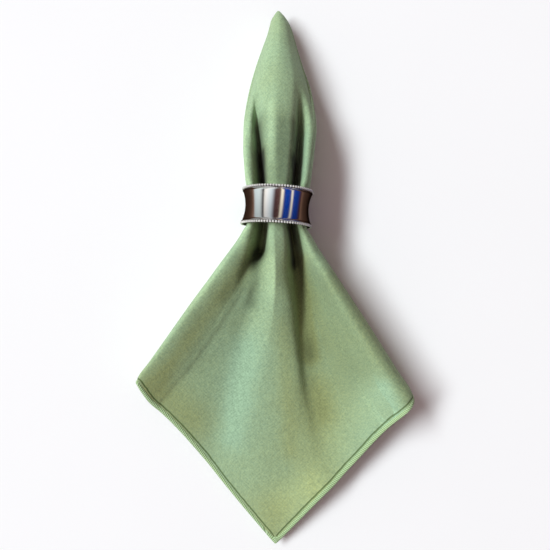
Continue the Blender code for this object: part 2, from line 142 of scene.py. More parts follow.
# Heights of the middle of the cloth: under is the turned-under back, crown the crest of the middle lobe,
# middle the cloth on the middle line, soft the shallow valley on the crest's left. ridge and soft are places
# as shares of the left half width. dome is how far the section is one plain arch, with no folds yet.
HEIGHT_COLUMNS = ("run", "under", "ridge", "crown", "middle", "soft", "soft_height", "dome")
HEIGHTS = (
    (0.0000, 0.0072, 0.10, 0.0100, 0.0100, 0.30, 0.0097, 1.00),
    (0.0060, 0.0058, 0.10, 0.0134, 0.0134, 0.30, 0.0130, 1.00),
    (0.0130, 0.0045, 0.12, 0.0168, 0.0168, 0.30, 0.0163, 1.00),
    (0.0250, 0.0027, 0.14, 0.0228, 0.0227, 0.30, 0.0221, 1.00),
    (0.0400, REST_HEIGHT, 0.15, 0.0280, 0.0278, 0.30, 0.0271, 1.00),
    (0.0520, REST_HEIGHT, 0.15, 0.0308, 0.0306, 0.30, 0.0296, 0.90),
    (0.0650, REST_HEIGHT, 0.15, 0.0334, 0.0331, 0.30, 0.0316, 0.45),
    (0.0780, REST_HEIGHT, 0.14, 0.0356, 0.0353, 0.29, 0.0332, 0.12),
    (0.0910, REST_HEIGHT, 0.12, 0.0374, 0.0370, 0.28, 0.0352, 0.00),
    (0.1060, REST_HEIGHT, 0.10, 0.0388, 0.0386, 0.26, 0.0370, 0.00),
    (0.1170, 0.0034, 0.08, 0.0392, 0.0390, 0.22, 0.0380, 0.00),
    (0.1280, 0.0052, 0.08, 0.0393, 0.0391, 0.20, 0.0385, 0.00),
    (0.1390, 0.0034, 0.08, 0.0388, 0.0386, 0.18, 0.0376, 0.00),
    (0.1530, REST_HEIGHT, 0.05, 0.0345, 0.0342, 0.17, 0.0325, 0.00),
    (0.1730, REST_HEIGHT, 0.03, 0.0266, 0.0262, 0.30, 0.0222, 0.00),
    (0.1900, REST_HEIGHT, 0.06, 0.0212, 0.0208, 0.40, 0.0172, 0.00),
    (0.2142, REST_HEIGHT, 0.17, 0.0172, 0.0166, 0.43, 0.0136, 0.00),
    (0.2505, REST_HEIGHT, 0.28, 0.0148, 0.0142, 0.46, 0.0112, 0.00),
    (0.2820, REST_HEIGHT, 0.36, 0.0122, 0.0117, 0.48, 0.0094, 0.00),
    (0.3100, REST_HEIGHT, 0.39, 0.0098, 0.0094, 0.49, 0.0078, 0.00),
    (LENGTH, REST_HEIGHT, 0.40, 0.0072, 0.0062, 0.50, 0.0060, 0.00),
)

# The two deep folds beside the middle lobe. valley is the fold's place as a share of the half width, gap the
# width between its walls, floor its lowest height. roll is the place of the outer lobe's crest, crest its
# height, bulge the height between it and the fold, plane the height on the fold's inner side.
FOLD_COLUMNS = ("run", "valley", "gap", "floor", "roll", "crest", "bulge", "plane")
LEFT_FOLD = (
    (0.0000, 0.62, 0.0010, 0.0096, 0.90, 0.0090, 0.0092, 0.0098),
    (0.0130, 0.62, 0.0020, 0.0150, 0.90, 0.0112, 0.0140, 0.0156),
    (0.0250, 0.62, 0.0030, 0.0190, 0.90, 0.0134, 0.0175, 0.0210),
    (0.0400, 0.64, 0.0045, 0.0225, 0.90, 0.0158, 0.0210, 0.0250),
    (0.0520, 0.66, 0.0050, 0.0222, 0.90, 0.0190, 0.0236, 0.0276),
    (0.0650, 0.66, 0.0050, 0.0196, 0.92, 0.0230, 0.0254, 0.0300),
    (0.0780, 0.64, 0.0050, 0.0166, 0.93, 0.0264, 0.0266, 0.0320),
    (0.0910, 0.58, 0.0052, 0.0142, 0.94, 0.0290, 0.0278, 0.0338),
    (0.1040, 0.54, 0.0056, 0.0128, 0.94, 0.0312, 0.0292, 0.0356),
    (0.1280, 0.48, 0.0058, 0.0120, 0.92, 0.0325, 0.0308, 0.0376),
    (0.1400, 0.44, 0.0072, 0.0110, 0.90, 0.0318, 0.0300, 0.0358),
    (0.1550, 0.43, 0.0088, 0.0110, 0.90, 0.0290, 0.0270, 0.0270),
    (0.1700, 0.56, 0.0062, 0.0206, 0.93, 0.0294, 0.0266, 0.0222),
    (0.1900, 0.64, 0.0050, 0.0208, 0.95, 0.0292, 0.0254, 0.0196),
    (0.2142, 0.71, 0.0045, 0.0200, 0.965, 0.0286, 0.0240, 0.0170),
    (0.2505, 0.775, 0.0045, 0.0190, 0.975, 0.0276, 0.0228, 0.0152),
    (0.2820, 0.82, 0.0045, 0.0190, 0.98, 0.0266, 0.0222, 0.0146),
    (0.3100, 0.855, 0.0045, 0.0184, 0.985, 0.0254, 0.0212, 0.0140),
    (LENGTH, 0.885, 0.0045, 0.0168, 0.99, 0.0230, 0.0192, 0.0120),
)
RIGHT_FOLD = (
    (0.0000, 0.60, 0.0010, 0.0096, 0.86, 0.0090, 0.0092, 0.0098),
    (0.0130, 0.60, 0.0020, 0.0150, 0.86, 0.0112, 0.0140, 0.0156),
    (0.0250, 0.60, 0.0030, 0.0190, 0.86, 0.0136, 0.0175, 0.0210),
    (0.0400, 0.59, 0.0045, 0.0228, 0.86, 0.0162, 0.0214, 0.0250),
    (0.0500, 0.58, 0.0048, 0.0222, 0.86, 0.0192, 0.0236, 0.0274),
    (0.0620, 0.56, 0.0046, 0.0196, 0.86, 0.0232, 0.0256, 0.0298),
    (0.0780, 0.54, 0.0046, 0.0164, 0.85, 0.0276, 0.0280, 0.0322),
    (0.0910, 0.55, 0.0050, 0.0142, 0.84, 0.0302, 0.0300, 0.0340),
    (0.1040, 0.55, 0.0052, 0.0128, 0.84, 0.0320, 0.0316, 0.0356),
    (0.1280, 0.52, 0.0056, 0.0120, 0.84, 0.0330, 0.0328, 0.0374),
    (0.1430, 0.51, 0.0062, 0.0100, 0.82, 0.0322, 0.0308, 0.0358),
    (0.1550, 0.51, 0.0072, 0.0090, 0.80, 0.0304, 0.0272, 0.0304),
    (0.1700, 0.48, 0.0085, 0.0085, 0.82, 0.0288, 0.0222, 0.0218),
    (0.1900, 0.465, 0.0090, 0.0078, 0.85, 0.0300, 0.0146, 0.0176),
    (0.2142, 0.43, 0.0100, 0.0070, 0.87, 0.0304, 0.0122, 0.0142),
    (0.2505, 0.42, 0.0120, 0.0070, 0.89, 0.0306, 0.0114, 0.0126),
    (0.2820, 0.45, 0.0135, 0.0082, 0.905, 0.0308, 0.0116, 0.0112),
    (0.3100, 0.46, 0.0140, 0.0102, 0.915, 0.0310, 0.0134, 0.0116),
    (LENGTH, 0.50, 0.0140, 0.0140, 0.93, 0.0306, 0.0178, 0.0148),
)


def slopes(places, values):
    """Tangents that never overshoot, for a cubic through the values."""
    step = np.diff(places)
    rate = np.diff(values) / step
    tangent = np.zeros(len(values))
    for i in range(1, len(values) - 1):
        if rate[i - 1] * rate[i] > 0:
            before = 2 * step[i] + step[i - 1]
            after = step[i] + 2 * step[i - 1]
            tangent[i] = (before + after) / (before / rate[i - 1] + after / rate[i])
    tangent[0] = rate[0]
    tangent[-1] = rate[-1]
    return tangent


class Table:
    """Smooth curves through the named columns of a table, along its first column."""

    def __init__(self, columns, rows):
        data = np.array(rows)
        self.places = data[:, 0]
        self.curves = {
            name: (data[:, i], slopes(self.places, data[:, i]))
            for i, name in enumerate(columns)
        }

    def at(self, place):
        i = int(np.clip(np.searchsorted(self.places, place) - 1, 0, len(self.places) - 2))
        step = self.places[i + 1] - self.places[i]
        t = (place - self.places[i]) / step
        found = {}
        for name, (value, tangent) in self.curves.items():
            found[name] = (
                (1 + 2 * t) * (1 - t) ** 2 * value[i]
                + t * (1 - t) ** 2 * step * tangent[i]
                + t * t * (3 - 2 * t) * value[i + 1]
                + t * t * (t - 1) * step * tangent[i + 1]
            )
        return found


outlines = Table(OUTLINE_COLUMNS, OUTLINE)
hem_waves = Table(HEM_WAVE_COLUMNS, HEM_WAVES)
heights = Table(HEIGHT_COLUMNS, HEIGHTS)
left_folds = Table(FOLD_COLUMNS, LEFT_FOLD)
right_folds = Table(FOLD_COLUMNS, RIGHT_FOLD)


def row_bend(rise):
    """How far a row has come to the hem's own shape: 0 at the ring and 1 at the hem."""
    return min(max(rise / OUTLINE[-1][4], 0.0), 1.0)


def hem_line(side, rise, share):
    """How far a row bends towards the tip at a share of the way from the middle to an edge."""
    bend = row_bend(rise)
    blunt = ROW_BLUNTNESS * (1 - bend)
    vee = (math.hypot(share, blunt) - blunt) / (math.hypot(1.0, blunt) - blunt)
    wave = hem_waves.at(share)["left" if side < 0 else "right"]
    return CORNER_SHARE * rise * vee + wave * bend ** 2


def arched(share, z, height):
    """Height of a guide point, drawn to a plain arch where the section is still the folded point's dome."""
    arch = height["under"] + (height["crown"] - height["under"]) * math.sqrt(1 - ARCH_FULLNESS * share ** 2)
    return z + height["dome"] * (arch - z)


def half_section(side, outline, height, fold):
    """Guide points of one half of a section, from the turned-under back edge to beside the middle lobe."""
    edge = outline["left"] if side < 0 else outline["right"]
    rise = outline["rise_left"] if side < 0 else outline["rise_right"]
    rise_back = outline["rise_back"]
    half = abs(edge - outline["mid"])
    slit = outline["slit"] / half
    under = height["under"]
    floor = fold["floor"]
    valley = fold["valley"]
    outer = valley + fold["gap"] / 2 / half
    inner = valley - fold["gap"] / 2 / half
    guides = []
    for share in BACK_PLACES:
        across = slit + share * (1 - slit)
        guides.append((across, rise_back + (rise - rise_back) * share, under))
    edge_rise = LEFT_EDGE_RISE if side < 0 else RIGHT_EDGE_RISE
    bulge_place = LEFT_BULGE_PLACE if side < 0 else RIGHT_BULGE_PLACE
    edge_height = under + edge_rise * (fold["crest"] - under)
    shoulder = 1 - SHOULDER_PLACE * (1 - fold["roll"])
    guides.append((1.0, rise, edge_height))
    drop = fold["bulge"] - fold["plane"]
    slant = min(max(2 * (floor - fold["plane"]) / drop, 0.0), 1.0) if drop > 0 else 0.0
    trough = (
        (outer, floor + WALL_RISE * (fold["bulge"] - floor)),
        ((valley + outer) / 2, floor),
        ((valley + inner) / 2, floor),
        (inner, floor + WALL_RISE * (fold["plane"] - floor)),
    )
    walls = tuple(
        (share, z + slant * (fold["bulge"] - drop * fall - z))
        for (share, z), fall in zip(trough, SLOPE_FALLS)
    )
    front = (
        (shoulder, edge_height + SHOULDER_RISE * (fold["crest"] - edge_height)),
        (fold["roll"], fold["crest"]),
        (outer + bulge_place * (fold["roll"] - outer), fold["bulge"]),
        *walls,
        (PLANE_PLACE * inner, fold["plane"]),
    )
    for share, z in front:
        guides.append((share, hem_line(side, rise, share), arched(share, z, height)))
    return [(outline["mid"] + side * share * half, along, z) for share, along, z in guides]


def section(run):
    """Guide points of the whole section at a distance from the tip, from one back edge to the other."""
    outline = outlines.at(run)
    height = heights.at(run)
    mid = outline["mid"]
    left = half_section(-1, outline, height, left_folds.at(run))
    right = half_section(1, outline, height, right_folds.at(run))
    left_half = mid - outline["left"]
    rise = outline["rise_left"]
    sharp = row_bend(rise) ** TIP_SHARPNESS
    blunt = 1 - sharp
    left_step = mid - sharp * TIP_WIDTH - blunt * LEFT_STEP_PLACE * height["ridge"] * left_half
    right_step = mid + sharp * TIP_WIDTH + blunt * RIGHT_STEP_PLACE * (right[-1][0] - mid)
    left_height = height["middle"] + blunt * LEFT_STEP_PLACE * (height["crown"] - height["middle"])
    right_height = height["middle"] + blunt * RIGHT_STEP_FALL * (right[-1][2] - height["middle"])
    soft_height = arched(height["soft"], height["soft_height"], height)
    ridge_height = arched(height["ridge"], height["crown"], height)
    left_height = arched((mid - left_step) / left_half, left_height, height)
    right_height = arched((right_step - mid) / (outline["right"] - mid), right_height, height)
    middle = [
        (mid - height["soft"] * left_half, hem_line(-1, rise, height["soft"]), soft_height),
        (mid - height["ridge"] * left_half, hem_line(-1, rise, height["ridge"]), ridge_height),
        (left_step, 0.0, left_height),
        (mid, 0.0, arched(0.0, height["middle"], height)),
        (right_step, 0.0, right_height),
    ]
    guides = np.array(left + middle + right[::-1])
    guides[:, 1] += TIP_Y - run
    return guides


def spline_weights(shares, spans):
    """Weights of a uniform cubic B-spline's guides at each share of its length, one row of them a share."""
    weights = np.zeros((len(shares), spans + 3))
    first = np.minimum((shares * spans).astype(int), spans - 1)
    t = shares * spans - first
    cubic = (
        (1 - t) ** 3 / 6,
        (3 * t ** 3 - 6 * t ** 2 + 4) / 6,
        (-3 * t ** 3 + 3 * t ** 2 + 3 * t + 1) / 6,
        t ** 3 / 6,
    )
    for i, weight in enumerate(cubic):
        weights[np.arange(len(shares)), first + i] = weight
    return weights


def bore_radius(along):
    """Radius free inside the ring for the middle of the cloth, at a distance from the ring's middle."""
    half = RING_LENGTH / 2
    waist = RING_WAIST_RADIUS - RING_WALL - RING_CLEARANCE - STACK / 2
    rim = RING_RIM_RADIUS - 2 * BEAD_RADIUS - RIM_CLEARANCE - STACK / 2
    past_rim = np.maximum(np.abs(along) - half - RIM_REACH, 0.0)
    return waist + (rim - waist) * np.minimum(np.abs(along) / half, 1.0) ** 2 + past_rim


def press_into_ring(points):
    """Draws into the ring's bore any of the cloth that would lie outside it."""
    cos, sin = math.cos(RING_TURN), math.sin(RING_TURN)
    away_x = points[..., 0] - RING_X
    away_y = points[..., 1] - RING_Y
    up = points[..., 2] - RING_RIM_RADIUS
    along = away_y * cos - away_x * sin
    across = away_x * cos + away_y * sin
    radius = np.hypot(across, up)
    free = bore_radius(along)
    room = np.clip((free - radius) / PRESS_SOFTNESS, -60.0, 60.0)
    held = free - PRESS_SOFTNESS * np.log1p(np.exp(room))
    share = np.where(np.abs(along) < RING_LENGTH, held / radius, 1.0)
    points[..., 0] = RING_X + across * share * cos - along * sin
    points[..., 1] = RING_Y + across * share * sin + along * cos
    points[..., 2] = RING_RIM_RADIUS + up * share


# Smaller creases on the front, laid on the main folds: each runs in a straight line between two places seen
# from above, and is a soft ridge, or a trough where its height is below nothing.
CREASE_COLUMNS = ("from_x", "from_y", "to_x", "to_y", "width", "height")
CREASES = (
    (0.0165, 0.082, 0.0180, 0.062, 0.0016, -0.0009),
    (-0.0040, 0.120, -0.0045, 0.070, 0.0022, -0.0007),
    (0.0020, 0.110, 0.0000, 0.066, 0.0026, 0.0005),
    (0.0590, -0.055, 0.0560, -0.104, 0.0045, -0.0008),
    (0.0230, 0.012, 0.0560, -0.050, 0.0030, 0.0005),
    (-0.0160, 0.012, -0.0330, -0.026, 0.0026, 0.0005),
    (-0.0300, -0.040, -0.0560, -0.072, 0.0060, -0.0006),
    (0.0120, -0.040, 0.0260, -0.090, 0.0060, 0.0006),
    (0.0010, -0.110, 0.0180, -0.140, 0.0080, -0.0005),
    (-0.0080, -0.060, -0.0260, -0.120, 0.0070, 0.0004),
)


def lift_creases(points, front):
    """Lifts or sinks the front of the cloth along its smaller creases."""
    crease_rows = [dict(zip(CREASE_COLUMNS, row)) for row in CREASES]
    for crease in crease_rows:
        start = np.array((crease["from_x"], crease["from_y"]))
        line = np.array((crease["to_x"], crease["to_y"])) - start
        length = np.hypot(*line)
        away = points[..., :2] - start
        along = (away @ line) / length ** 2
        off = (away[..., 0] * line[1] - away[..., 1] * line[0]) / length
        fade = np.sin(np.pi * np.clip(along, 0.0, 1.0)) ** 2
        points[..., 2] += front * crease["height"] * fade * np.exp(-(off / crease["width"]) ** 2)


TIP_CLOSE = 0.0060            # over this length the folded corner rounds off to its point


def middle_surface(runs, shares):
    """Places of the middle of the four plies, a row for each run and a column for each share across."""
    guides = np.array([section(run) for run in runs])
    before = 2 * guides[:, :1] - guides[:, 1:2]
    after = 2 * guides[:, -1:] - guides[:, -2:-1]
    guides = np.concatenate((before, guides, after), axis=1)
    spans = guides.shape[1] - 3
    points = np.einsum("cg,rgx->rcx", spline_weights(shares, spans), guides)
    turned = (len(BACK_PLACES) - 0.5) / spans
    inward = np.minimum(shares, 1 - shares)
    front = np.clip((inward - turned) * spans / 2, 0.0, 1.0)
    lift_creases(points, front)
    press_into_ring(points)
    for i, run in enumerate(runs):
        if run < TIP_CLOSE:
            close = math.sqrt(1 - (1 - run / TIP_CLOSE) ** 2)
            centre = points[i].mean(axis=0)
            centre[1] = TIP_Y - run
            points[i] = centre + (points[i] - centre) * close
    return points


# The four plies in the order in which the sheet goes round: the upper one, over the right fold to the lowest,
# over the left fold to the third, back over the right to the second, and over the left fold to the upper one.
# A row is its depth in plies down from the upper one, its way across and the columns that the mesh gives it.
PLIES = (
    (0, 1, 206),
    (3, -1, 50),
    (2, 1, 30),
    (1, -1, 30),
)
TURN_STEPS = 4
DOUBLES = 0.000001            # points of a mesh this near are one
PLY_PITCH = 0.00045           # from ply to ply where the cloth is pressed
HEM_PITCH = 0.00076           # and at the hem, which is thicker
HEM_SPREAD = 0.030            # length over which the plies spread apart to the hem
UPPER_OFFSET = 0.00069        # the upper ply above the middle of the four
SHARE_STEP = 0.002            # to either side, where the way across the cloth is measured
EDGE_BLEND = 30               # how sharply the left hem's stagger gives way to the right one's
STAGGER_LEFT = (0.0, 0.0007, 0.0013, 0.0009)    # how far each ply's left hem stands out past the upper one's
STAGGER_RIGHT = (0.0, -0.0004, 0.0002, -0.0006)


def ply_round(columns):
    """Stations once round the four plies: share across, depth, reach past the fold, and the fold's side."""
    stations = []
    for i, (depth, way, _) in enumerate(PLIES):
        next_depth = PLIES[(i + 1) % len(PLIES)][0]
        for step in range(columns[i]):
            share = step / columns[i]
            stations.append((share if way > 0 else 1 - share, depth, 0.0, 0))
        reach = abs(next_depth - depth) / 2
        for step in range(TURN_STEPS):
            angle = math.pi * step / TURN_STEPS
            turned = (depth + next_depth) / 2 - (next_depth - depth) / 2 * math.cos(angle)
            stations.append((1.0 if way > 0 else 0.0, turned, reach * math.sin(angle), way))
    stations.append(stations[0])
    return np.array(stations)


def unit(vectors):
    return vectors / np.maximum(np.linalg.norm(vectors, axis=-1, keepdims=True), 1e-12)


def lay_plies(runs, stations):
    """Places and normals of the sheet at each run and station, with the middle surface as its guide."""
    shares, depth, reach, side = stations.T
    points = middle_surface(runs, shares)
    across = middle_surface(runs, np.minimum(shares + SHARE_STEP, 1.0))
    across = unit(across - middle_surface(runs, np.maximum(shares - SHARE_STEP, 0.0)))
    along = unit(np.gradient(points, axis=0))
    normal = unit(np.cross(along, across))
    run = np.array(runs)[:, None]
    spread = np.clip((run - LENGTH + HEM_SPREAD) / HEM_SPREAD, 0.0, 1.0) ** 2
    close = np.sqrt(1 - (1 - np.clip(run / TIP_CLOSE, 0.0, 1.0)) ** 2)
    pitch = PLY_PITCH + (HEM_PITCH - PLY_PITCH) * spread
    offset = (UPPER_OFFSET - depth * pitch) * close
    plies = np.arange(len(PLIES))
    left = np.interp(depth, plies, STAGGER_LEFT)
    right = np.interp(depth, plies, STAGGER_RIGHT)
    rightness = np.clip((shares - 0.5) * EDGE_BLEND + 0.5, 0.0, 1.0)
    stagger = (left + (right - left) * rightness) * spread
    points = points + normal * offset[..., None] + along * stagger[..., None]
    points += across * (reach * side * pitch * close)[..., None]
    return points, normal


def tidy_mesh(shape, name, merge=0.0):
    """A mesh from a bmesh, its doubles merged and its faces smooth."""
    if merge:
        bmesh.ops.remove_doubles(shape, verts=shape.verts, dist=merge)
    mesh = bpy.data.meshes.new(name)
    shape.to_mesh(mesh)
    shape.free()
    mesh.shade_smooth()
    return mesh


def show(name, mesh, material, node):
    """Puts a piece in the scene: it rides on the one body, stands for its CAD node and takes its finish."""
    mesh.materials.append(material)
    piece = bpy.data.objects.new(name, mesh)
    bpy.context.scene.collection.objects.link(piece)
    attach(piece, "root")
    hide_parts(node)
    return piece


def moved_grid(points, uv_maps):
    """A grid whose corners lie at points, in rows and columns, with its named maps of surface places."""
    rows, columns = points.shape[0] - 1, points.shape[1] - 1
    grid = bmesh.new()
    bmesh.ops.create_grid(grid, x_segments=columns, y_segments=rows, size=0.5)
    index = {}
    for vertex in grid.verts:
        place = (round((vertex.co.y + 0.5) * rows), round((vertex.co.x + 0.5) * columns))
        index[vertex] = place
        vertex.co = points[place]
    layers = [(grid.loops.layers.uv.new(name), places) for name, places in uv_maps.items()]
    for face in grid.faces:
        for corner in face.loops:
            for layer, places in layers:
                corner[layer].uv = places[index[corner.vert]]
    return grid


def lengths_along(points, axis):
    """Distance from the first row or column to each, measured along the surface."""
    step = np.linalg.norm(np.diff(points, axis=axis), axis=-1)
    return np.insert(np.cumsum(step, axis=axis), 0, 0.0, axis=axis)


def linear(code, alpha=1.0):
    """An sRGB hex colour as the linear values that Blender's sockets take."""
    parts = [int(code[i:i + 2], 16) / 255 for i in (1, 3, 5)]
    return [c / 12.92 if c <= 0.04045 else ((c + 0.055) / 1.055) ** 2.4 for c in parts] + [alpha]


def join_inputs(tree, node, links):
    """Links a node's inputs, each to an output or to the first output that another node has in use."""
    for key, source in links.items():
        if isinstance(source, bpy.types.Node):
            source = next(output for output in source.outputs if output.enabled)
        tree.links.new(source, node.inputs[key])


def add_node(tree, kind, settings=None, links=None):
    """Adds a node, sets its properties and sockets, and links its inputs."""
    node = tree.nodes.new("ShaderNode" + kind)
    for key, value in (settings or {}).items():
        if isinstance(key, int) or key in node.inputs:
            node.inputs[key].default_value = value
        else:
            setattr(node, key, value)
    join_inputs(tree, node, links or {})
    return node


def new_material(name, constants):
    """A material, its nodes and its shader, with the shader's constant sockets set."""
    material = bpy.data.materials.new(name)
    material.use_nodes = True
    tree = material.node_tree
    shader = tree.nodes["Principled BSDF"]
    for key, value in constants.items():
        shader.inputs[key].default_value = value
    return material, tree, shader


# Soft patches on the dyed cloth, of painted shade and light and of hue: each lies along a line between two
# places seen from above, and turns the cloth from mint to olive and makes it lighter or darker within its
# reach. Olive in part paints shaded cloth and mint lit cloth, the rest is the dye's uneven hue, and the
# lightening paints highlights.
# The strongest of them paint the dark shade of the narrow folds beside the ring.
PAINTED_SHADE_COLUMNS = ("from_x", "from_y", "to_x", "to_y", "reach", "olive", "light")
PAINTED_SHADE_AND_HUE = (
    (0.0150, 0.010, 0.0230, -0.050, 0.0055, 0.90, -0.34),
    (0.0230, -0.046, 0.0320, -0.086, 0.0090, 0.20, -0.20),
    (0.0260, -0.075, 0.0300, -0.135, 0.0160, 0.42, -0.02),
    (0.0240, -0.008, 0.0500, -0.058, 0.0140, 0.15, -0.26),
    (0.0380, 0.002, 0.0820, -0.074, 0.0070, 0.25, -0.10),
    (-0.0130, 0.015, -0.0800, -0.075, 0.0055, 0.40, -0.06),
    (-0.0120, 0.013, -0.0300, -0.012, 0.0050, 0.10, -0.32),
    (-0.0090, 0.016, -0.0140, -0.016, 0.0045, 0.05, -0.38),
    (-0.0104, 0.014, -0.0135, 0.009, 0.0045, 0.10, -0.30),
    (0.0050, 0.020, 0.0070, -0.015, 0.0035, 0.05, 0.14),
    (-0.0260, -0.024, -0.0400, -0.060, 0.0090, 0.00, -0.08),
    (-0.0300, 0.006, -0.0450, -0.014, 0.0060, 0.00, 0.12),
    (-0.0740, -0.070, -0.0540, -0.090, 0.0160, 0.50, -0.06),
    (0.0000, -0.150, 0.0000, -0.168, 0.0180, 0.50, 0.05),
    (0.0060, -0.030, 0.0100, -0.110, 0.0060, 0.25, 0.02),
    (0.0000, 0.008, 0.0010, -0.008, 0.0060, 0.05, 0.24),
    (-0.0180, -0.045, -0.0270, -0.100, 0.0120, -0.35, 0.00),
    (0.0660, -0.066, 0.0760, -0.094, 0.0070, -0.35, 0.10),
    (0.0100, -0.140, 0.0240, -0.132, 0.0110, 0.05, 0.18),
    (-0.0150, 0.092, -0.0155, 0.056, 0.0042, -0.10, 0.26),
    (-0.0126, 0.086, -0.0120, 0.058, 0.0026, -0.10, 0.35),
    (0.0180, 0.082, 0.0180, 0.060, 0.0060, -0.20, -0.10),
    (-0.0150, 0.030, -0.0180, 0.016, 0.0040, 0.00, 0.24),
    (0.0185, 0.030, 0.0200, 0.014, 0.0040, 0.00, 0.15),
    (0.0100, 0.140, 0.0130, 0.110, 0.0060, 0.00, 0.14),
    (-0.0070, 0.096, -0.0064, 0.060, 0.0040, 0.00, -0.28),
    (-0.0022, 0.104, -0.0016, 0.070, 0.0020, 0.00, 0.14),
    (0.0000, 0.076, 0.0000, 0.056, 0.0045, 0.00, -0.12),
    (0.0056, 0.092, 0.0046, 0.060, 0.0056, 0.00, -0.30),
    (-0.0066, 0.054, -0.0080, 0.076, 0.0025, 0.40, -0.80),
    (-0.0080, 0.070, -0.0098, 0.094, 0.0022, 0.20, -0.45),
    (0.0124, 0.054, 0.0122, 0.072, 0.0024, 0.40, -0.80),
    (0.0122, 0.066, 0.0118, 0.094, 0.0020, 0.20, -0.40),
    (-0.0094, 0.032, -0.0100, 0.016, 0.0034, 0.50, -0.50),
    (0.0108, 0.032, 0.0125, 0.008, 0.0028, 0.50, -0.70),
)
BASE_OLIVE = 0.35
DARKEST_PAINTED_SHADE = 0.08            # the darkest that the patches' painted shade makes the cloth


def painted_shade_and_hue(points):
    """At each point, how olive the cloth is and how light, from the patches of painted shade and light and of
    hue seen from above.
    """
    tones = np.zeros(points.shape[:2] + (2,))
    tones[..., 0] = BASE_OLIVE
    tones[..., 1] = 1.0
    for row in PAINTED_SHADE_AND_HUE:
        tone = dict(zip(PAINTED_SHADE_COLUMNS, row))
        start = np.array((tone["from_x"], tone["from_y"]))
        line = np.array((tone["to_x"], tone["to_y"])) - start
        away = points[..., :2] - start
        along = np.clip((away @ line) / (line @ line), 0.0, 1.0)
        off = np.linalg.norm(away - along[..., None] * line, axis=-1)
        share = np.exp(-(off / tone["reach"]) ** 2)
        tones[..., 0] += tone["olive"] * share
        tones[..., 1] += tone["light"] * share
    tones[..., 0] = np.clip(tones[..., 0], 0.0, 1.0)
    tones[..., 1] = np.maximum(tones[..., 1], DARKEST_PAINTED_SHADE)
    return tones


# Mint is in part the painted hue of lit cloth and olive that of shaded cloth, where the patches mix them
SAGE_MINT = "#96b596"
SAGE_OLIVE = "#98a36f"
SAGE_LINE_AND_GROOVE_SHADE = "#4d6334"
THREAD_DRAWN = 0.0011         # the real threads are too fine to show, so they are drawn this wide
HEM_INSET = 0.0034            # the needle's stitch line, in from the hem's edge
LINE_WANDER = 0.0006          # how far that line strays from its place
LINE_SHARE = 0.8              # how far it takes the line's dark colour, in part thread and in part painted groove shade
OVER_LIGHT = 0.01             # what the threads' over and under add to the lightness
OVER_RELIEF = 0.08            # and to the relief


